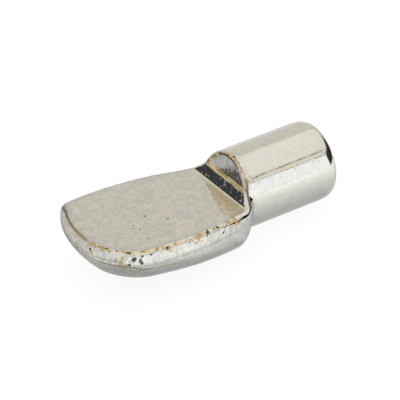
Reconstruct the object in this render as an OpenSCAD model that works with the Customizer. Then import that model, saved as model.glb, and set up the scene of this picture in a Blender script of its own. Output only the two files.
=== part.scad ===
// Shelf support pin: a round pin that plugs into a cabinet side, and a spoon-shaped paddle that carries the shelf.
// One piece of cold-formed steel. X runs along the pin to its free end and Z is up. The origin is on the pin's axis
// at the mouth of its hole, just behind the shoulders. Inside the modules X is counted from the foot of the step.

/* [Pin] */
// Diameter of the pin
pin_d = 5; // [4:0.1:6]
// Length of the pin from the foot of the step to its free end
pin_len = 6.96; // [4:0.01:12]
// How much thicker the pin's root is at the foot of the step than at the mouth of its hole
root_out = 0.02; // [0.01:0.01:0.1]
// Rounding of the pin's free end: how deep it cuts into the pin's radius, and its length along the pin
pin_end_r = 0.38; // [0.1:0.02:1]
pin_end_len = 0.76; // [0.1:0.02:1]
// Length of the taper by which the pin runs out under the paddle
heel_len = 1.2; // [0.6:0.1:3]
// How much the pin's radius shrinks over that taper
heel_drop = 0.5; // [0.3:0.05:0.8]

/* [Step] */
// Lean of the step's face, away from the paddle, in degrees
step_lean = 12; // [0:1:20]
// Length and lean of the cove facet between the seat and the step's face
cove_len = 0.75; // [0.3:0.01:0.9]
cove_lean = 33; // [25:1:50]
// Rounding of the step's rim
rim_r = 0.28; // [0.05:0.01:0.4]
// How far the step's foot flares out past the pin on each side, to the paddle's edges
flare_out = 0.43; // [0.2:0.01:0.6]
// Length along the pin over which that flare runs out
flare_len = 0.6; // [0.6:0.05:1]

/* [Paddle outline] */
// Length of the paddle from the foot of the step to the tip of its nose
paddle_len = 10; // [8:0.05:14]
// Greatest width of the paddle's seat
paddle_w = 8; // [7:0.05:9.4]
// Distance of the widest place from the foot of the step
widest_x = 5.45; // [4.5:0.05:7]
// Radius of the nose
nose_r = 7.4; // [5:0.1:12]
// Radius of the corners between the nose and the sides
corner_r = 2.2; // [1.3:0.05:2.8]
// Radius of the shoulders beside the pin
shoulder_r = 2.75; // [1.5:0.05:3.5]
// Distance from the foot of the step at which the shoulders begin
shoulder_x = 0.95; // [0.5:0.05:1.4]
// How far the sides stand out past the step's foot where the shoulders begin
shoulder_out = 0.55; // [0.4:0.01:0.7]

/* [Paddle section] */
// Height of the seat above the pin's axis, at the foot of the step
seat_h = 0.37; // [0.1:0.01:0.8]
// Rise of the seat towards the nose, in degrees
seat_rise = 3.5; // [0:0.1:5]
// Rounding of the seat's edge
edge_r = 0.25; // [0.1:0.01:0.4]
// How far the sides and the nose swell out from the seat's edge down to the chine
side_swell = 0.05; // [0:0.01:0.3]
// Depth of the chine, where the sides turn in to the underside, below the pin's axis at the foot of the step
chine_drop = 1.39; // [1.1:0.01:1.6]
// Rise of the chine towards the nose, and its turn from the sides' upright, in degrees
chine_rise = 8.3; // [6.5:0.1:9]
chine_turn = 32; // [10:1:45]
// Rise of the flat keel under the paddle towards the nose, in degrees
keel_rise = 7.5; // [6:0.1:9]
// Width of the round bilge between the chine and the keel
bilge_w = 1.1; // [0.7:0.05:1.2]

/* [Hidden] */

pin_r = pin_d / 2;
// The blanks stand this much proud of the seat and the step, which are then cut flat
stock = 0.03;
// Pieces of the blank that run into the pin end this far under its surface
sink = 0.015;
// The keel's back end lies this far above the pin's lowest line
keel_cover = 0.06;
// Least radius of an inset arc
arc_min = 0.05;
// Room between the shoulders and the mouth of the hole
mouth_gap = 0.05;
// Reach of the cutting shape past the solid
reach = 2 * (paddle_len + pin_len);
arc_step = 15;
bilge_steps = 5;
edge_step = 22.5;
side_steps = 12;
nose_steps = 14;
corner_steps = 8;
shoulder_steps = 8;
rim_steps = 20;

// Point on a circle
function polar(c, r, a) = c + r * [cos(a), sin(a)];
// Points along a circle from angle a to angle b, without the first one, with the radius growing on the way
function arc(c, r, a, b, steps, growth = 0) =
    [for (i = [1 : steps]) polar(c, max(r, arc_min) + growth * sin(90 * i / steps), a + (b - a) * i / steps)];
// Angle of the direction from one point to another
function heading(from, to) = atan2(to[1] - from[1], to[0] - from[0]);
// Points mirrored at the second coordinate's zero, or at the first one's, in reverse order
function mirror_second(points, skip) = [for (i = [len(points) - 1 - skip : -1 : 0]) [points[i][0], -points[i][1]]];
function mirror_first(points, skip) = [for (i = [len(points) - 1 - skip : -1 : 0]) [-points[i][0], points[i][1]]];
// Meeting point of two circles, to the left of the way from the first centre to the second
function meet(c1, r1, c2, r2) =
    let (d = norm(c2 - c1))
    let (along = (r1 * r1 - r2 * r2 + d * d) / (2 * d))
    let (off = sqrt(r1 * r1 - along * along))
    let (u = (c2 - c1) / d)
    c1 + along * u + off * [-u[1], u[0]];

// The seat's outline is a chain of tangent arcs, so every inset of it keeps the same centres and angles
pin_half = sqrt(pin_r * pin_r - seat_h * seat_h);
foot_half = pin_half + flare_out;
side_sag = paddle_w / 2 - foot_half - shoulder_out;
side_reach = widest_x - shoulder_x;
side_r = (side_reach * side_reach + side_sag * side_sag) / (2 * side_sag);
nose_c = [nose_r - paddle_len, 0];
side_c = [-widest_x, paddle_w / 2 - side_r];
corner_c = meet(side_c, side_r - corner_r, nose_c, nose_r - corner_r);
shoulder_a = acos(side_reach / side_r);
shoulder_c = polar(side_c, side_r - shoulder_r, shoulder_a);
side_a = heading(side_c, corner_c);
nose_a = heading(nose_c, corner_c);
keel_back_x = shoulder_c[0] + shoulder_r;
mouth_x = keel_back_x + mouth_gap;

// The swell grows from nothing at the shoulders to its full size at the nose's corners
function half_outline(inset, swell) = concat(
    [polar(shoulder_c, max(shoulder_r - inset, arc_min), 0)],
    arc(shoulder_c, shoulder_r - inset, 0, shoulder_a, shoulder_steps),
    arc(side_c, side_r - inset, shoulder_a, side_a, side_steps, swell),
    arc(corner_c, corner_r - inset + swell, side_a, nose_a, corner_steps),
    arc(nose_c, nose_r - inset + swell, nose_a, 180, nose_steps)
);
function outline(inset, swell) =
    let (half = half_outline(inset, swell))
    concat(half, mirror_second(half, 1));

function seat_z(x) = seat_h - x * tan(seat_rise);
function keel_z(x) = keel_cover - pin_r - (x - keel_back_x) * tan(keel_rise);
function chine_z(x) = -chine_drop - x * tan(chine_rise);

// The cove starts at the seat, and the step's face starts at the top of the cove
cove_top = [cove_len * sin(cove_lean), seat_h + cove_len * cos(cove_lean)];
function step_x(z) = cove_top[0] + (z - cove_top[1]) * tan(step_lean);
cove_run = step_x(seat_h);

// Ring on the round bilge, from the keel at a = 90 to the chine at a = chine_turn
function keel_ring(a) =
    let (in = 1 - cos(a) / cos(chine_turn), down = (sin(a) - sin(chine_turn)) / (1 - sin(chine_turn)))
    [for (p = outline(bilge_w * in, side_swell))
        [p[0], p[1], chine_z(p[0]) + (keel_z(p[0]) - chine_z(p[0])) * down]];
function seat_ring(inset, drop) = [for (p = outline(inset, 0)) [p[0], p[1], seat_z(p[0]) + stock - drop]];

// Section of the step's head: the pin's round with both flanks running tangent from it to the flared foot
function head_ring(inset, depth) =
    let (r = pin_r - sink - inset)
    let (run_out = min(max(depth + cove_run, 0) / flare_len, 1))
    let (foot = [foot_half - (flare_out + sink / 2) * run_out, seat_h])
    let (flank_a = heading([0, 0], foot) + acos(r / norm(foot)))
    let (half = concat([[foot[0], -seat_h], foot, polar([0, 0], r, flank_a)],
                       arc([0, 0], r, flank_a, 90, rim_steps)))
    [for (p = concat(half, mirror_first(half, 1))) [step_x(p[1]) + depth, p[0], p[1]]];

// Solid through a stack of rings with the same count of points. Each ring runs anticlockwise seen from the last.
module ring_stack(rings) {
    n = len(rings[0]);
    top = len(rings) - 1;
    points = [for (ring = rings) for (p = ring) p];
    walls = [
        for (k = [0 : top - 1], i = [0 : n - 1])
            let (j = (i + 1) % n)
            for (f = [[k * n + i, (k + 1) * n + i, (k + 1) * n + j], [k * n + i, (k + 1) * n + j, k * n + j]]) f
    ];
    first_face = [for (i = [0 : n - 1]) i];
    last_face = [for (i = [n - 1 : -1 : 0]) top * n + i];
    polyhedron(points, concat(walls, [first_face, last_face]));
}

module paddle_blank() {
    bilge = [for (i = [0 : bilge_steps]) keel_ring(90 + (chine_turn - 90) * i / bilge_steps)];
    edge = [for (a = [0 : edge_step : 90]) seat_ring(edge_r * (1 - cos(a)), edge_r * (1 - sin(a)))];
    ring_stack(concat(bilge, edge));
}

// Front of the step, with its rounded rim, its flared foot and room for the cove
module step_head() {
    front = head_ring(rim_r, -cove_run - stock);
    rim = [for (a = [0 : edge_step : 90]) head_ring(rim_r * (1 - sin(a)), rim_r * (1 - cos(a)) - stock)];
    ring_stack(concat([front], rim, [head_ring(0, max(flare_len - cove_run, rim_r))]));
}

module pin_blank() {
    end_arc = [
        for (a = [0 : arc_step : 90])
            [pin_r - pin_end_r * (1 - cos(a)), pin_len - pin_end_len * (1 - sin(a))]
    ];
    rotate([0, 90, 0])
        rotate_extrude($fn = 96)
            polygon(concat([[0, -heel_len], [pin_r - heel_drop, -heel_len], [pin_r + root_out, 0], [pin_r, mouth_x]],
                           end_arc, [[0, pin_len]]));
}

// Room over the seat and in front of the step
module notch() {
    rotate([90, 0, 0])
        linear_extrude(reach, center = true)
            polygon([[-reach, seat_z(-reach)], [0, seat_h], cove_top, [step_x(reach), reach], [-reach, reach]]);
}

module shelf_pin() {
    color([0.78, 0.77, 0.73])
        translate([-mouth_x, 0, 0])
            difference() {
                union() {
                    paddle_blank();
                    step_head();
                    difference() {
                        pin_blank();
                        translate([rim_r - stock, 0, -stock])
                            notch();
                    }
                }
                notch();
            }
}

shelf_pin();
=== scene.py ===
"""Shelf support pin: the looks of a spoon-shaped, nickel-plated steel pin around its CAD frame.

The CAD node gives the form. A fine mesh of it is laid onto a smooth distance function with the small
irregularities of the cold-formed part: its uneven corners, worn wavy edges, streaked sides, dents and pits.
Lengths in the form are millimetres, and its X is counted from the foot of the step. Lengths in the material's
object coordinates and in the studio are metres.
"""

import math

import bpy
import numpy as np
from mathutils import Matrix, Vector


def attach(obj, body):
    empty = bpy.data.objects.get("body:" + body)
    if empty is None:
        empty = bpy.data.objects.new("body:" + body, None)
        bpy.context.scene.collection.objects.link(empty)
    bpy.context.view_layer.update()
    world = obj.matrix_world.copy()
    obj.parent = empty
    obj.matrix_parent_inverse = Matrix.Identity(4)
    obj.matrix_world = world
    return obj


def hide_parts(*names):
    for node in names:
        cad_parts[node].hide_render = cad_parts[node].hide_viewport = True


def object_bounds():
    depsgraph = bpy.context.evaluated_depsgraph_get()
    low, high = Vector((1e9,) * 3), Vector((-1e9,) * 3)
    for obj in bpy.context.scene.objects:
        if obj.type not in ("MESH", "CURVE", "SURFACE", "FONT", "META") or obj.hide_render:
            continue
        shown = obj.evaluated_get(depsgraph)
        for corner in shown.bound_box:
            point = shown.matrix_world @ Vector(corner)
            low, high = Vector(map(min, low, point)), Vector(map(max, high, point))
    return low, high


MM = 0.001

# Pin
PIN_R = 2.5
PIN_LEN = 6.96
PIN_END_R = 0.38
PIN_END_LEN = 0.76
HEEL_LEN = 1.2
HEEL_DROP = 0.5
# Seat and step. The cove's foot lies at COVE_X. For each millimetre of Y it lies COVE_SKEW further back, and
# the cove's upper border COVE_SLOPE higher. The panel is the step's face over the cove. It is bowed back on
# both sides of PANEL_BOW_Y, fully from PANEL_BOW_RISE over the cove.
SEAT_H = 0.37
SEAT_RISE = math.radians(3.5)
COVE_LEN = 0.75
COVE_LEAN = math.radians(33)
COVE_X = -0.054
COVE_SKEW = 0.021
COVE_SLOPE = 0.006
PANEL_LEAN = math.radians(14.7)
PANEL_BOW = 0.006
PANEL_BOW_Y = -0.5
PANEL_BOW_RISE = 0.6
# Paddle
PADDLE_LEN = 9.92
WIDEST_X = 5.49
NOSE_R = 6.42
CHINE_Z = -1.38
CHINE_RISE = 0.153
CHINE_LIFT = 0.12
CHINE_LIFT_FROM = -7.4
CHINE_LIFT_TO = -9
CHINE_TURN = 0.69
BILGE_W = 1.2
KEEL_X = 0.95
KEEL_Z = -2.44
KEEL_RISE = 0.1317
# Roundings. The edge of the seat and the step is sharper at the nose and on the far flank, and rounder on the
# near shoulder.
EDGE_R = 0.25
NOSE_SHARPER = 0.13
FLANK_SHARPER = 0.15
SHOULDER_ROUNDER = 0.13
FOOT_R = 0.05
COVE_BLEND = 0.02
CHINE_R = 0.12
FLARE_R = 0.5
FLARE_FOOT_R = 1.2
# The step's far flank runs straight down to FLANK_Y at the seat, and narrows with the square of X. It begins
# at FLANK_FRONT, reaches FLANK_SINK under the seat and ends inside the pin at FLANK_INNER.
FLANK_Y = 3.0
FLANK_LEAN = math.radians(42)
FLANK_TAPER = 0.5
FLANK_FRONT = -0.1
FLANK_SINK = 0.2
FLANK_INNER = 1
# The nose stands a little to the far side, and the two sides of the outline differ. Swell is how far the
# chine stands out past the outline, and rake how far the seat's edge stays behind it. Both are given at
# SWELL_AT, counted in arcs of the outline from the shoulder to the tip of the nose.
NOSE_Y = 0.227
FAR_SIDE = {"half": 4.03, "foot": 3.176, "shoulder_x": 0.09, "shoulder_r": 1.94, "corner_r": 0.8}
FAR_SWELL = (-0.05, 0.04, 0.13, 0.25, 0.03, 0.08, 0.11, 0.23)
FAR_RAKE = (0, 0, 0, 0, 0, 0.05, 0.2, 0.12)
NEAR_SIDE = {"half": 3.873, "foot": 3.377, "shoulder_x": 0.735, "shoulder_r": 1.55, "corner_r": 3.04}
NEAR_SWELL = (-0.05, -0.13, 0.1, 0.25, 0.23, 0.375, 0.345, 0.23)
NEAR_RAKE = (0, 0, 0, 0, 0, 0, 0.025, 0.12)
SWELL_AT = (0, 0.5, 1, 1.5, 2, 3, 3.2, 4)
# Spacing of the fine mesh, the longest move of a point in one round towards the surface, and the least square
# of the slope that such a move reckons with
VOXEL = 0.072
MAX_MOVE = 0.2
MIN_SLOPE_SQUARE = 0.05
# Wear: height and reach of the waves along the edges, depth of the streaks down the sides, depth of the dents,
# the pits' share of that depth, and how ragged each kind of spot is
WAVE_H = 0.03
WAVE_REACH = 0.22
STREAK_DEPTH = 0.022
DENT_DEPTH = 0.03
PIT_SHARE = 0.66
PIT_RAGGED = 0.3
DENT_RAGGED = 0.65
STAIN_RAGGED = 0.75
# Pits in the plating of the seat: X, Y, radius
SEAT_PITS = (
    (-5.5, -0.23, 0.12),
    (-4.5, -1.21, 0.1),
    (-6.64, -0.79, 0.1),
    (-6.51, -1.34, 0.09),
    (-6.69, -2.5, 0.1),
    (-1.2, -1.93, 0.08),
    (-1.34, -2.29, 0.07),
    (-1.34, -2.58, 0.07),
)
# Dark dents in the edge and the sides: X, Y, Z, radius
DENTS = (
    (-8.31, -3.52, 0.47, 0.17),
    (-7.97, -3.7, 0.4, 0.1),
    (-7.95, -3.78, 0.25, 0.09),
    (-8.61, -3.48, 0.19, 0.08),
    (-9.88, -1.25, 0.65, 0.11),
    (-9.28, -2.76, 0.49, 0.06),
    (-10.01, 0.23, 0.56, 0.07),
    (-8.94, -2.67, 0.9, 0.08),
    (-8.49, -3.15, 0.81, 0.09),
    (-7.82, -3.66, 0.63, 0.07),
    (-7.3, -3.82, 0.6, 0.06),
    (-3.33, -3.63, 0.5, 0.12),
    (-2.57, -3.54, 0.45, 0.11),
    (-2.26, -3.69, 0.05, 0.06),
    (-6.22, -3.8, 0.66, 0.08),
)
# Golden stains where the plating is worn: X, Y, Z, radius
STAINS = (
    (-8.76, -3.41, 0.15, 0.12),
    (-8.85, -3.12, 0.6, 0.16),
    (-8.95, -3.19, 0.38, 0.15),
    (-9.74, -1.16, 0.91, 0.2),
    (-9.44, -1.88, 0.94, 0.18),
    (-8.95, 3.22, 0.91, 0.12),
    (-9.52, 1.86, 0.95, 0.12),
    (-6.17, -3.87, 0.58, 0.2),
    (-4.06, -3.82, 0.49, 0.25),
    (-1.31, -3.47, 0.26, 0.3),
)
# Colours of the plating
WARM_NICKEL = (0.72, 0.675, 0.585, 1)
GREY_NICKEL = (0.6, 0.578, 0.535, 1)
SPECK_GREY = (0.52, 0.49, 0.44, 1)
# Colours of the tarnish over the cove
BAND_GOLD = (0.8, 0.65, 0.36, 1)
BAND_BROWN = (0.5, 0.37, 0.17, 1)
STREAK_BROWN = (0.22, 0.15, 0.07, 1)
# Colours of the edges
EDGE_GOLD = (0.68, 0.52, 0.24, 1)
EDGE_BROWN = (0.26, 0.17, 0.06, 1)
EDGE_SPOT = (0.08, 0.06, 0.035, 1)
RIM_GROOVE = (0.2, 0.15, 0.08, 1)
# Painted dark reflection beside the near shoulder
PAINTED_REFLECTION_DARK = (0.07, 0.066, 0.06, 1)
NOSE_OLIVE = (0.27, 0.23, 0.13, 1)
TIP_GREY = (0.5, 0.51, 0.53, 1)
HEM_GREY = (0.43, 0.43, 0.46, 1)
# Colours of the pin's end, the sides, the chine, the stains and the pits
END_BROWN = (0.42, 0.34, 0.19, 1)
SIDE_STREAK = (0.4, 0.37, 0.31, 1)
CHINE_BROWN = (0.27, 0.22, 0.12, 1)
STAIN_GOLD = (0.46, 0.34, 0.15, 1)
PIT_DARK = (0.05, 0.042, 0.03, 1)
# Areas of the painted shade on the mirrored floor, under the paddle and under the pin: low X, high X, half the
# width in Y
PADDLE_SHADE = (-0.0112, -0.0012, 0.004)
PIN_SHADE = (-0.003, 0.0056, 0.0023)

# Camera, as fitted to the photograph
EYE = (-0.0709632, -0.1121149, 0.0829045)
AIM = (-0.0011413, 0.0005367, -0.0002313)
ROLL = math.radians(-2.9607)
LENS = 235.23


def meet(c1, r1, c2, r2):
    """Meeting point of two circles, to the left of the way from the first centre to the second."""
    way = c2 - c1
    d = np.hypot(*way)
    along = (r1 * r1 - r2 * r2 + d * d) / (2 * d)
    off = math.sqrt(r1 * r1 - along * along)
    u = way / d
    return c1 + along * u + off * np.array([-u[1], u[0]])


def polar(c, r, a):
    """Point on a circle."""
    return c + r * np.array([math.cos(a), math.sin(a)])


def heading(start, end):
    """Angle of the direction from one point to another."""
    return math.atan2(end[1] - start[1], end[0] - start[0])


class Side:
    """One side of the seat's outline: a chain of tangent arcs from the shoulder to the tip of the nose."""

    def __init__(self, sign, swell, rake, half, foot, shoulder_x, shoulder_r, corner_r):
        self.sign = sign
        self.swell = swell
        self.rake = rake
        half = half - sign * NOSE_Y
        foot = foot - sign * NOSE_Y
        reach = WIDEST_X - shoulder_x
        sag = half - foot
        self.side_r = (reach * reach + sag * sag) / (2 * sag)
        self.side_c = np.array([-WIDEST_X, half - self.side_r])
        self.nose_c = np.array([NOSE_R - PADDLE_LEN, 0.0])
        self.corner_r = corner_r
        self.corner_c = meet(self.side_c, self.side_r - corner_r, self.nose_c, NOSE_R - corner_r)
        self.shoulder_r = shoulder_r
        self.shoulder_a = math.acos(reach / self.side_r)
        self.shoulder_c = polar(self.side_c, self.side_r - shoulder_r, self.shoulder_a)
        self.side_a = heading(self.side_c, self.corner_c)
        self.nose_a = heading(self.nose_c, self.corner_c)

    def distance(self, x, y):
        """Signed distance to the outline, negative inside, and the swell and the rake there."""
        y = self.sign * (y - NOSE_Y)
        arcs = (
            (self.shoulder_c, self.shoulder_r, 0, self.shoulder_a),
            (self.side_c, self.side_r, self.shoulder_a, self.side_a),
            (self.corner_c, self.corner_r, self.side_a, self.nose_a),
            (self.nose_c, NOSE_R, self.nose_a, math.pi),
        )
        d = np.zeros_like(x)
        s = np.zeros_like(x)
        for k, (c, r, a, b) in enumerate(arcs):
            dx, dy = x - c[0], y - c[1]
            past = (math.cos(a) * dy - math.sin(a) * dx > 0) | (k == 0)
            d = np.where(past, np.hypot(dx, dy) - r, d)
            s = np.where(past, k + (np.arctan2(dy, dx) - a) / (b - a), s)
        behind = s < 0
        d = np.where(behind, x - self.shoulder_c[0] - self.shoulder_r, d)
        s = np.where(behind, 0, s)
        return d, np.interp(s, SWELL_AT, self.swell), np.interp(s, SWELL_AT, self.rake)


FAR = Side(1, FAR_SWELL, FAR_RAKE, **FAR_SIDE)
NEAR = Side(-1, NEAR_SWELL, NEAR_RAKE, **NEAR_SIDE)


def round_max(a, b, r):
    """Meeting of two solids with its edge rounded by radius r."""
    return np.minimum(np.maximum(a, b), -r) + np.hypot(np.maximum(a + r, 0), np.maximum(b + r, 0))


def round_min(a, b, r):
    """Union of two solids with a fillet of radius r."""
    return np.maximum(np.minimum(a, b), r) - np.hypot(np.maximum(r - a, 0), np.maximum(r - b, 0))


def blend_min(a, b, width):
    """Union of two solids at a flat angle, blended where their distances differ by less than width."""
    h = np.maximum(width - np.abs(a - b), 0) / width
    return np.minimum(a, b) - h * h * width / 4


def smooth(low, high, v):
    """Smooth step from 0 at low to 1 at high."""
    t = np.clip((v - low) / (high - low), 0, 1)
    return t * t * (3 - 2 * t)


def noise(points, scale, seed):
    """Smooth noise between -1 and 1, with lumps 1 / scale apart."""
    p = points * scale + seed * 7.31
    cell = np.floor(p).astype(np.int64)
    t = p - cell
    t = t * t * (3 - 2 * t)
    total = np.zeros(len(p))
    for corner in np.ndindex(2, 2, 2):
        c = cell + corner
        h = c[:, 0] * 374761393 + c[:, 1] * 668265263 + c[:, 2] * 1274126177 + seed * 974711
        h = (h ^ (h >> 13)) * 1103515245
        h = (h ^ (h >> 16)) & 0xFFFF
        weight = np.prod(np.where(corner, t, 1 - t), axis=1)
        total += weight * (h / 32767.5 - 1)
    return total


def chine_z(x):
    """Height of the chine, where the sides turn in to the underside."""
    return CHINE_Z - x * CHINE_RISE + CHINE_LIFT * smooth(CHINE_LIFT_FROM, CHINE_LIFT_TO, x)


def paddle_body(x, y, z):
    """Distance to the paddle's sides, chine, bilge and keel, without a top."""
    d, swell, rake = np.where(y > NOSE_Y, FAR.distance(x, y), NEAR.distance(x, y))
    seat = SEAT_H - x * math.tan(SEAT_RISE)
    chine = chine_z(x)
    keel = KEEL_Z - (x - KEEL_X) * KEEL_RISE
    depth = np.clip((seat - EDGE_R / 2 - z) / (seat - EDGE_R / 2 - chine), 0, 1)
    side = d + rake - (swell + rake) * np.sin(depth * math.pi / 2)
    height = chine - keel
    turn_c, turn_s = math.cos(CHINE_TURN), math.sin(CHINE_TURN)
    u = np.maximum(side + BILGE_W, 0) / BILGE_W * turn_c
    v = np.maximum(turn_s + (chine - z) / height * (1 - turn_s), 0)
    q = np.hypot(u, v)
    slope = np.hypot(u * turn_c / BILGE_W, v * (1 - turn_s) / height)
    bend = q * (q - 1) / np.maximum(slope, 0.001)
    return round_max(side, bend, CHINE_R)


def pin_body(x, y, z):
    """Distance to the pin with its rounded free end and its heel under the paddle."""
    taper = np.clip(-x / HEEL_LEN, 0, 1) * HEEL_DROP
    barrel = np.hypot(y, z) - PIN_R + taper
    barrel = round_max(barrel, (x - PIN_LEN) * PIN_END_R / PIN_END_LEN, PIN_END_R)
    return np.maximum(barrel, -x - HEEL_LEN)


def parts_of(points):
    """Distances to the outside of the blank and to the notch over the seat, and the heights over the seat."""
    x, y, z = points.T
    top = (z - SEAT_H + x * math.tan(SEAT_RISE)) * math.cos(SEAT_RISE)
    foot = COVE_X + COVE_SKEW * y
    cove = ((z - SEAT_H) * math.tan(COVE_LEAN) - x + foot) * math.cos(COVE_LEAN)
    joint = COVE_LEN * math.cos(COVE_LEAN) + COVE_SLOPE * y
    rise = z - SEAT_H - joint
    bow = PANEL_BOW * (y - PANEL_BOW_Y) ** 2 * smooth(0, PANEL_BOW_RISE, rise)
    back = foot + joint * math.tan(COVE_LEAN) + bow
    panel = (rise * math.tan(PANEL_LEAN) - x + back) * math.cos(PANEL_LEAN)
    paddle = paddle_body(x, y, z)
    paddle = np.where(x > 0, np.maximum(paddle, top), paddle)
    flare = FLARE_R + (FLARE_FOOT_R - FLARE_R) * smooth(0.7, 0.1, x)
    blank = round_min(pin_body(x, y, z), paddle, flare)
    flank = (y - FLANK_Y + FLANK_TAPER * x * x) * math.cos(FLANK_LEAN) + (z - SEAT_H) * math.sin(FLANK_LEAN)
    for limit in (SEAT_H - FLANK_SINK - z, FLANK_INNER - y, FLANK_FRONT - x):
        flank = np.maximum(flank, limit)
    blank = np.minimum(blank, flank)
    cut = blend_min(round_min(top, cove, FOOT_R), panel, COVE_BLEND)
    return blank, cut, top


def shape(points):
    """Distance to the surface of the part, without its wear."""
    blank, cut, _ = parts_of(points)
    x, y, z = points.T
    edge = EDGE_R - NOSE_SHARPER * smooth(-8.6, -9.4, x)
    edge += SHOULDER_ROUNDER * smooth(-2, -0.6, x) * smooth(1.2, 0.5, z) * smooth(0, -1, y)
    edge -= FLANK_SHARPER * smooth(0.5, 1.5, y) * smooth(-0.2, 0.1, x)
    return round_max(blank, cut, edge)


def gradient(points, step=0.01):
    """Slope of the distance along each axis."""
    slopes = [shape(points + step * axis) - shape(points - step * axis) for axis in np.eye(3)]
    return np.array(slopes).T / (2 * step)


def land(points, rounds):
    """Moves points onto the surface of the shape."""
    for _ in range(rounds):
        g = gradient(points)
        size = np.maximum((g * g).sum(1), MIN_SLOPE_SQUARE)
        move = -(shape(points) / size)[:, None] * g
        length = np.maximum(np.linalg.norm(move, axis=1), 1e-9)
        points = points + move * np.minimum(1, MAX_MOVE / length)[:, None]
    return points


def relax(points, edges):
    """Moves each point halfway to the mean of its neighbours."""
    n = len(points)
    total = np.zeros_like(points)
    for k in range(3):
        total[:, k] += np.bincount(edges[:, 0], points[edges[:, 1], k], n)
        total[:, k] += np.bincount(edges[:, 1], points[edges[:, 0], k], n)
    count = np.bincount(edges.ravel(), minlength=n)[:, None]
    return 0.5 * points + 0.5 * total / count


def fine_mesh(node):
    """A fine, even mesh of the part, made from a copy of the CAD node."""
    obj = node.copy()
    obj.data = node.data.copy()
    obj.name = "pin_visual"
    obj.parent = None
    for key in list(obj.keys()):
        del obj[key]
    bpy.context.scene.collection.objects.link(obj)
    for other in bpy.context.selected_objects:
        other.select_set(False)
    bpy.context.view_layer.objects.active = obj
    obj.select_set(True)
    remesh = obj.modifiers.new("even", "REMESH")
    remesh.mode = "VOXEL"
    remesh.voxel_size = VOXEL * MM
    bpy.ops.object.modifier_apply(modifier=remesh.name)
    return obj


def spots(points, places, ragged):
    """Uneven spots at the given places: 1 at their middle, 0 outside."""
    uneven = 1 + ragged * noise(points, 6, 5)
    total = np.zeros(len(points))
    for x, y, z, r in places:
        far = np.linalg.norm(points - (x, y, z), axis=1) * uneven
        total = np.maximum(total, np.exp(-((far / r) ** 2)))
    return total


def wear(points, across):
    """Height of the wear along the surface's normal, and how deep in a pit or dent each point lies."""
    near_edge = np.exp(-((across / WAVE_REACH) ** 2))
    ripple = 0.6 * noise(points, 1.1, 1) + 0.4 * noise(points, 3.1, 2)
    height = WAVE_H * near_edge * ripple
    streak = 0.5 * noise(points * (1, 1, 0.16), 3.4, 3) + 0.5 * noise(points * (1, 1, 0.3), 6.5, 4)
    sides = smooth(0.02, 0.15, across) * smooth(1.1, 0.4, across)
    height -= STREAK_DEPTH * np.maximum(streak, -0.2) * sides
    seat_pits = [(x, y, SEAT_H - x * math.tan(SEAT_RISE), r) for x, y, r in SEAT_PITS]
    depth = np.maximum(PIT_SHARE * spots(points, seat_pits, PIT_RAGGED), spots(points, DENTS, DENT_RAGGED))
    return height - DENT_DEPTH * depth, depth


def build_pin(node, foot_x):
    """The part in its looks. The foot of the step lies at foot_x in the frame."""
    obj = fine_mesh(node)
    mesh = obj.data
    n = len(mesh.vertices)
    co = np.zeros(n * 3)
    mesh.vertices.foreach_get("co", co)
    foot = np.array([foot_x, 0, 0])
    points = (co.reshape(-1, 3) - foot) / MM
    edges = np.zeros(len(mesh.edges) * 2, int)
    mesh.edges.foreach_get("vertices", edges)
    edges = edges.reshape(-1, 2)
    points = land(points, 5)
    for _ in range(4):
        points = land(relax(points, edges), 1)
    points = land(points, 2)
    blank, cut, top = parts_of(points)
    across = blank - cut
    height, pits = wear(points, across)
    over_chine = points[:, 2] - chine_z(points[:, 0])
    normal = gradient(points)
    normal /= np.maximum(np.linalg.norm(normal, axis=1), 1e-6)[:, None]
    worn = points + normal * height[:, None]
    mesh.vertices.foreach_set("co", (worn * MM + foot).ravel())
    # across is negative on the seat and the step's face, zero at their edge and positive on the sides
    layers = {
        "across": across,
        "pit": pits,
        "stain": spots(points, STAINS, STAIN_RAGGED),
        "over_seat": top,
        "over_chine": over_chine,
        "from_foot": points[:, 0],
    }
    for name, values in layers.items():
        layer = mesh.attributes.new(name, "FLOAT", "POINT")
        layer.data.foreach_set("value", values.astype(np.float32))
    mesh.materials.clear()
    mesh.polygons.foreach_set("use_smooth", np.ones(len(mesh.polygons), bool))
    mesh.polygons.foreach_set("material_index", np.zeros(len(mesh.polygons), int))
    mesh.update()
    return obj


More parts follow.
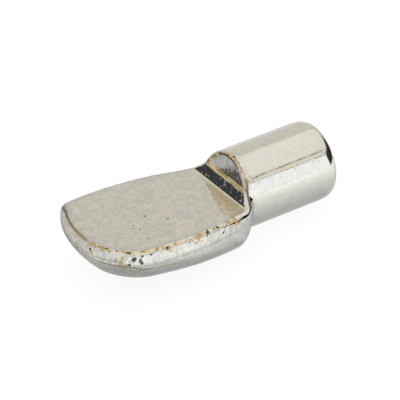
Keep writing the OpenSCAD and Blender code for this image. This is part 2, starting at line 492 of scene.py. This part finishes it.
class Graph:
    """Short ways to add nodes to a node tree."""

    def __init__(self, tree):
        self.tree = tree

    def add(self, kind, **settings):
        node = self.tree.nodes.new("ShaderNode" + kind)
        for key, value in settings.items():
            setattr(node, key, value)
        return node

    def put(self, socket, value):
        if isinstance(value, bpy.types.NodeSocket):
            self.tree.links.new(value, socket)
        else:
            socket.default_value = value

    def attribute(self, name):
        return self.add("Attribute", attribute_name=name).outputs["Fac"]

    def math(self, operation, a, b=0.0, c=0.0):
        node = self.add("Math", operation=operation)
        for socket, value in zip(node.inputs, (a, b, c)):
            self.put(socket, value)
        return node.outputs[0]

    def span(self, value, low, high, start=0.0, end=1.0):
        """Smooth step from start at low to end at high."""
        node = self.add("MapRange", interpolation_type="SMOOTHSTEP")
        keys = ("Value", "From Min", "From Max", "To Min", "To Max")
        for key, v in zip(keys, (value, low, high, start, end)):
            self.put(node.inputs[key], v)
        return node.outputs["Result"]

    def band(self, value, low, high, soft):
        """1 between low and high, with soft borders."""
        above = self.span(value, low - soft, low + soft)
        return self.math("MULTIPLY", above, self.span(value, high + soft, high - soft))

    def mix(self, factor, a, b):
        node = self.add("Mix", data_type="RGBA")
        self.put(node.inputs["Factor"], factor)
        self.put(node.inputs[6], a)
        self.put(node.inputs[7], b)
        return node.outputs[2]

    def noise(self, vector, scale, detail):
        node = self.add("TexNoise")
        self.put(node.inputs["Vector"], vector)
        node.inputs["Scale"].default_value = scale
        node.inputs["Detail"].default_value = detail
        return node.outputs["Fac"]

    def stretch(self, vector, factors):
        node = self.add("VectorMath", operation="MULTIPLY")
        self.put(node.inputs[0], vector)
        node.inputs[1].default_value = factors
        return node.outputs[0]


def step_tarnish(g, colour, place, across, over_seat):
    """Golden band over the cove, with a brown streak over it. Gives the colour and how dull it is."""
    wobble = g.math("MULTIPLY_ADD", g.noise(place, 1300, 3), 0.16, -0.08)
    height = g.math("ADD", over_seat, wobble)
    face = g.span(across, -0.1, -0.2)
    gold = g.math("MULTIPLY", g.band(height, 0.6, 0.92, 0.04), face)
    shades = g.span(g.noise(g.stretch(place, (1, 0.25, 1)), 4200, 3), 0.42, 0.6)
    colour = g.mix(gold, colour, g.mix(shades, BAND_GOLD, BAND_BROWN))
    streak = g.math("MULTIPLY", g.band(height, 0.93, 1.0, 0.03), face)
    streak = g.math("MULTIPLY", streak, g.span(g.noise(place, 2100, 2), 0.4, 0.55))
    panel = g.math("MULTIPLY", g.span(height, 0.86, 1.0), face)
    dull = g.math("MAXIMUM", g.math("MULTIPLY", gold, 0.75), g.math("MULTIPLY", panel, 0.12))
    return g.mix(g.math("MULTIPLY", streak, 0.8), colour, STREAK_BROWN), dull


def edge_wear_and_painted_reflection(g, colour, place, across, over_seat, from_foot):
    """Wear along the edges, and a painted dark reflection beside the near shoulder. Gives the colour and how
    dull it is.

    A broken golden line with dark spots, a groove under the rim, a painted dark reflection beside the near
    shoulder's edge, a dull olive line on the nose with a pale hem on its far part, and a grey hem on the seat.
    """
    parts = g.add("SeparateXYZ")
    g.put(parts.inputs[0], place)
    far = parts.outputs["Y"]
    jag = g.math("MULTIPLY_ADD", g.noise(place, 2800, 2), 0.36, -0.18)
    uneven = g.math("ADD", across, jag)
    rim = g.span(over_seat, 0.4, 0.7)
    edge = g.math("MAXIMUM", rim, g.span(from_foot, -0.9, -1.3))
    far_rim = g.math("MULTIPLY", rim, g.span(far, 0.0, 0.001))
    patchy = g.span(g.noise(place, 2900, 3), 0.44, 0.54)
    patchy = g.math("MAXIMUM", patchy, g.math("MULTIPLY_ADD", far_rim, 0.4, g.math("MULTIPLY", rim, 0.45)))
    uneven = g.math("ADD", uneven, g.math("MULTIPLY_ADD", far_rim, 0.18, g.math("MULTIPLY", rim, -0.08)))
    line = g.math("MULTIPLY", g.math("MULTIPLY", g.band(uneven, -0.17, 0.07, 0.04), patchy), edge)
    gold = g.mix(g.span(g.noise(place, 4300, 2), 0.42, 0.6), EDGE_GOLD, EDGE_BROWN)
    colour = g.mix(g.math("MULTIPLY", line, 0.9), colour, gold)
    dark = g.math("MULTIPLY", g.band(uneven, -0.2, 0.1, 0.05), g.span(g.noise(place, 3900, 1), 0.64, 0.7))
    colour = g.mix(g.math("MULTIPLY", dark, edge), colour, EDGE_SPOT)
    groove = g.math("MULTIPLY", g.math("MULTIPLY", g.band(uneven, -0.21, -0.16, 0.03), rim), 0.5)
    colour = g.mix(groove, colour, RIM_GROOVE)
    # Painted dark reflection in a band beside the near shoulder's edge, thickening the dark line that its
    # rounding mirrors
    painted_reflection = g.math("MULTIPLY", g.band(across, 0.02, 0.22, 0.05), g.band(from_foot, -0.95, 0.65, 0.25))
    painted_reflection = g.math("MULTIPLY", painted_reflection, g.span(far, -0.001, -0.002, 0.0, 0.88))
    colour = g.mix(painted_reflection, colour, PAINTED_REFLECTION_DARK)
    nose = g.math("MULTIPLY", g.band(across, -0.14, 0.1, 0.04), g.span(from_foot, -8.5, -8.9))
    nose = g.math("MULTIPLY", nose, g.span(far, -0.0012, -0.0004))
    colour = g.mix(nose, colour, NOSE_OLIVE)
    tip = g.math("MULTIPLY", g.band(across, -0.3, -0.14, 0.03), g.span(from_foot, -8.0, -8.4))
    tip = g.math("MULTIPLY", tip, g.span(far, 0.0012, 0.002))
    colour = g.mix(tip, colour, TIP_GREY)
    dull = g.math("MULTIPLY", g.math("MAXIMUM", nose, tip), 0.7)
    hem = g.math("MULTIPLY", g.band(uneven, -0.4, -0.24, 0.05), g.span(g.noise(place, 1100, 2), 0.35, 0.55))
    return g.mix(g.math("MULTIPLY", hem, 0.5), colour, HEM_GREY), dull


def nickel():
    """Warm nickel plating with its grain, tarnish, worn edges and pits."""
    mat = bpy.data.materials.new("nickel")
    mat.use_nodes = True
    g = Graph(mat.node_tree)
    bsdf = mat.node_tree.nodes["Principled BSDF"]
    place = g.add("TexCoord").outputs["Object"]
    across = g.attribute("across")
    over_seat = g.attribute("over_seat")
    over_chine = g.attribute("over_chine")
    from_foot = g.attribute("from_foot")
    fine = g.noise(place, 6500, 2)
    # mottled grain, weaker on the pin
    strength = g.span(from_foot, 0.8, 1.2, 1.0, 0.45)
    mottle = g.span(g.noise(place, 2400, 3), 0.35, 0.65, -0.5, 0.5)
    mottle = g.math("MULTIPLY_ADD", mottle, strength, 0.5)
    colour = g.mix(mottle, WARM_NICKEL, GREY_NICKEL)
    specks = g.math("MULTIPLY", g.span(fine, 0.62, 0.38, 0, 0.5), strength)
    colour = g.mix(specks, colour, SPECK_GREY)
    colour, dull = step_tarnish(g, colour, place, across, over_seat)
    colour, dull_edge = edge_wear_and_painted_reflection(g, colour, place, across, over_seat, from_foot)
    colour = g.mix(g.span(from_foot, 6.55, 6.85, 0.0, 0.6), colour, END_BROWN)
    # upright streaks down the sides
    drawn = g.noise(g.stretch(place, (1, 1, 0.15)), 5600, 1)
    sides = g.math("MULTIPLY", g.band(across, 0.1, 0.8, 0.1), g.span(from_foot, -0.2, -1))
    grey = g.math("MULTIPLY", g.span(drawn, 0.52, 0.68), g.math("MULTIPLY", sides, 0.55))
    colour = g.mix(grey, colour, SIDE_STREAK)
    # broken brown line along the chine, clearest at the nose
    chine = g.math("ADD", over_chine, g.math("MULTIPLY_ADD", g.noise(place, 1900, 2), 0.2, -0.1))
    chine = g.math("MULTIPLY", g.band(chine, -0.05, 0.05, 0.04), g.span(across, 0.4, 0.6))
    chine = g.math("MULTIPLY", chine, g.span(from_foot, -3.0, -7.5, 0.1, 0.75))
    chine = g.math("MULTIPLY", chine, g.span(g.noise(place, 1500, 2), 0.42, 0.58, 0.2, 1.0))
    colour = g.mix(chine, colour, CHINE_BROWN)
    colour = g.mix(g.span(g.attribute("stain"), 0.3, 0.6, 0.0, 0.85), colour, STAIN_GOLD)
    colour = g.mix(g.span(g.attribute("pit"), 0.25, 0.6, 0.0, 0.95), colour, PIT_DARK)
    g.put(bsdf.inputs["Base Color"], colour)
    g.put(bsdf.inputs["Metallic"], g.math("SUBTRACT", 1.0, g.math("MAXIMUM", dull, dull_edge)))
    g.put(bsdf.inputs["Roughness"], g.span(g.noise(place, 4500, 1), 0.55, 0.72, 0.11, 0.4))
    # bump: orange peel, stronger on the step's face and weaker on the pin, and the streaks down the sides
    streaks = g.math("MULTIPLY", drawn, g.math("MULTIPLY", sides, 6.5))
    bump = g.add("Bump")
    bump.inputs["Strength"].default_value = 1
    bump.inputs["Distance"].default_value = 0.000006
    face = g.math("MULTIPLY", g.span(across, -0.1, -0.2), g.span(over_seat, 0.6, 0.7))
    grain = g.math("MULTIPLY_ADD", face, 0.3, g.span(from_foot, 0.8, 1.2, 1.0, 0.55))
    grain = g.math("MULTIPLY", fine, grain)
    g.put(bump.inputs["Height"], g.math("ADD", grain, streaks))
    g.put(bsdf.inputs["Normal"], bump.outputs["Normal"])
    return mat


def camera(shift):
    """The photograph's camera, moved from the foot of the step into the frame by shift."""
    data = bpy.data.cameras.new("camera")
    data.lens = LENS
    data.sensor_width = 36
    data.clip_start = 0.01
    data.clip_end = 10
    obj = bpy.data.objects.new("camera", data)
    way = Vector(AIM) - Vector(EYE)
    turn = way.to_track_quat("-Z", "Y").to_matrix() @ Matrix.Rotation(ROLL, 3, "Z")
    obj.matrix_world = Matrix.Translation(Vector(EYE) + shift) @ turn.to_4x4()
    bpy.context.scene.collection.objects.link(obj)
    bpy.context.scene.camera = obj


def glowing(name, colour):
    """A material that glows in one colour."""
    mat = bpy.data.materials.new(name)
    mat.use_nodes = True
    tree = mat.node_tree
    tree.nodes.clear()
    glow = tree.nodes.new("ShaderNodeEmission")
    glow.inputs["Color"].default_value = (*colour, 1)
    out = tree.nodes.new("ShaderNodeOutputMaterial")
    tree.links.new(glow.outputs[0], out.inputs["Surface"])
    return mat


def sheet(name, width, height, mat):
    """A flat rectangle in the studio."""
    mesh = bpy.data.meshes.new(name)
    w, h = width / 2, height / 2
    mesh.from_pydata([(-w, -h, 0), (w, -h, 0), (w, h, 0), (-w, h, 0)], [], [(0, 1, 2, 3)])
    mesh.materials.append(mat)
    obj = bpy.data.objects.new(name, mesh)
    bpy.context.scene.collection.objects.link(obj)
    return obj


def only_mirrored(obj):
    """Leaves an object to be seen in the metal's shine alone."""
    obj.visible_camera = False
    obj.visible_diffuse = False
    obj.visible_shadow = False


def card(name, centre, width, height, colour):
    """A light or dark card that faces the origin and is seen in the metal's shine alone."""
    obj = sheet(name, width, height, glowing(name, colour))
    spot = Vector(centre)
    obj.matrix_world = Matrix.Translation(spot) @ spot.to_track_quat("Z", "Y").to_matrix().to_4x4()
    only_mirrored(obj)


def painted_floor_shade(g):
    """Painted shade of the floor that the metal mirrors: grey in the part's own shade, white further out,
    darker behind.
    """
    parts = g.add("SeparateXYZ")
    g.put(parts.inputs[0], g.add("TexCoord").outputs["Object"])
    x, y = parts.outputs["X"], parts.outputs["Y"]
    gaps = []
    for low_x, high_x, half_y in (PADDLE_SHADE, PIN_SHADE):
        dx = g.math("MAXIMUM", g.math("SUBTRACT", low_x, x), g.math("SUBTRACT", x, high_x))
        dx = g.math("MAXIMUM", dx, 0.0)
        dy = g.math("MAXIMUM", g.math("SUBTRACT", g.math("ABSOLUTE", y), half_y), 0.0)
        square = g.math("ADD", g.math("MULTIPLY", dx, dx), g.math("MULTIPLY", dy, dy))
        gaps.append(g.math("SQRT", square))
    gap = g.math("MINIMUM", *gaps)
    clear = g.math("DIVIDE", gap, g.math("ADD", gap, 0.006))
    tone = g.math("MULTIPLY_ADD", clear, 0.83, 0.53)
    tone = g.math("MULTIPLY", tone, g.span(x, -0.008, 0.004, 0.95, 1.13))
    return g.math("MULTIPLY", tone, g.span(y, 0.002, 0.008, 1.0, 0.62))


def studio(low):
    """A white floor, a light overhead, and light, dark and warm cards for the metal to mirror.

    The metal doesn't mirror the white floor but a second, glowing one in the same place, with its own painted
    shade.
    """
    floor_mat = bpy.data.materials.new("floor")
    floor_mat.use_nodes = True
    paint = floor_mat.node_tree.nodes["Principled BSDF"].inputs
    paint["Base Color"].default_value = (0.14, 0.14, 0.14, 1)
    paint["Roughness"].default_value = 0.9
    paint["Emission Color"].default_value = (1, 1, 1, 1)
    paint["Emission Strength"].default_value = 0.88
    floor = sheet("floor", 4, 4, floor_mat)
    floor.location.z = low
    floor.visible_glossy = False
    mirrored = glowing("mirrored_floor", (0.975, 1.025, 1.06))
    g = Graph(mirrored.node_tree)
    g.put(mirrored.node_tree.nodes["Emission"].inputs["Strength"], painted_floor_shade(g))
    second = sheet("mirrored_floor", 4, 4, mirrored)
    second.location.z = low
    only_mirrored(second)
    top = sheet("top_light", 1.0, 0.431, glowing("top_light", (1.12, 1.13, 1.11)))
    top.location = (0.067, -0.087, 0.3)
    top.rotation_euler.z = math.radians(20)
    top.visible_camera = False
    card("front_light", (0.021, -0.299, 0.09), 0.58, 0.18, (1.31, 1.4, 1.52))
    card("seam_light", (0.164, -0.2216, 0.19), 0.5, 0.046, (1.12, 1.1, 1.02))
    card("seam_shade", (0.22, -0.32, 0.32), 0.6, 0.3, (0.24, 0.225, 0.19))
    card("warm_card", (-0.04, 0.086, 0.073), 0.055, 0.03, (1.19, 1.02, 0.73))
    card("left_light", (-0.25, -0.03, 0.165), 0.5, 0.15, (0.99, 1.04, 1.13))
    card("left_flag", (-0.0086, 0.00855, 0.0037), 0.0072, 0.0053, (0.05, 0.057, 0.07))
    card("right_flag", (0.0634, -0.0188, 0.0135), 0.073, 0.037, (0.03, 0.03, 0.03))
    world = bpy.data.worlds.new("studio")
    world.use_nodes = True
    g = Graph(world.node_tree)
    parts = g.add("SeparateXYZ")
    g.put(parts.inputs[0], g.add("TexCoord").outputs["Generated"])
    sky = world.node_tree.nodes["Background"].inputs
    g.put(sky["Strength"], g.span(parts.outputs["Y"], -0.25, 0.25, 0.6, 0.83))
    sky["Color"].default_value = (1, 1, 0.95, 1)
    scene = bpy.context.scene
    scene.world = world
    scene.view_settings.view_transform = "Standard"


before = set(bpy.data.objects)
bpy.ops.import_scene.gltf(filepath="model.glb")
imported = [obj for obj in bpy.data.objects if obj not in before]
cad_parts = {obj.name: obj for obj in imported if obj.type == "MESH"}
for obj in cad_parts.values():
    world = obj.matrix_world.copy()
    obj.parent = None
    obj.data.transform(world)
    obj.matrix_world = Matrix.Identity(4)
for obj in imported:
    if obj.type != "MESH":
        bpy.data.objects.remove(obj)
cad_low, cad_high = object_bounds()
foot_x = cad_high.x - PIN_LEN * MM
pin = build_pin(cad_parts["shelf_pin"], foot_x)
pin.data.materials.append(nickel())
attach(pin, "root")
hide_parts("shelf_pin")
camera(Vector((foot_x, 0, 0)))
low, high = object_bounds()
studio(low.z)
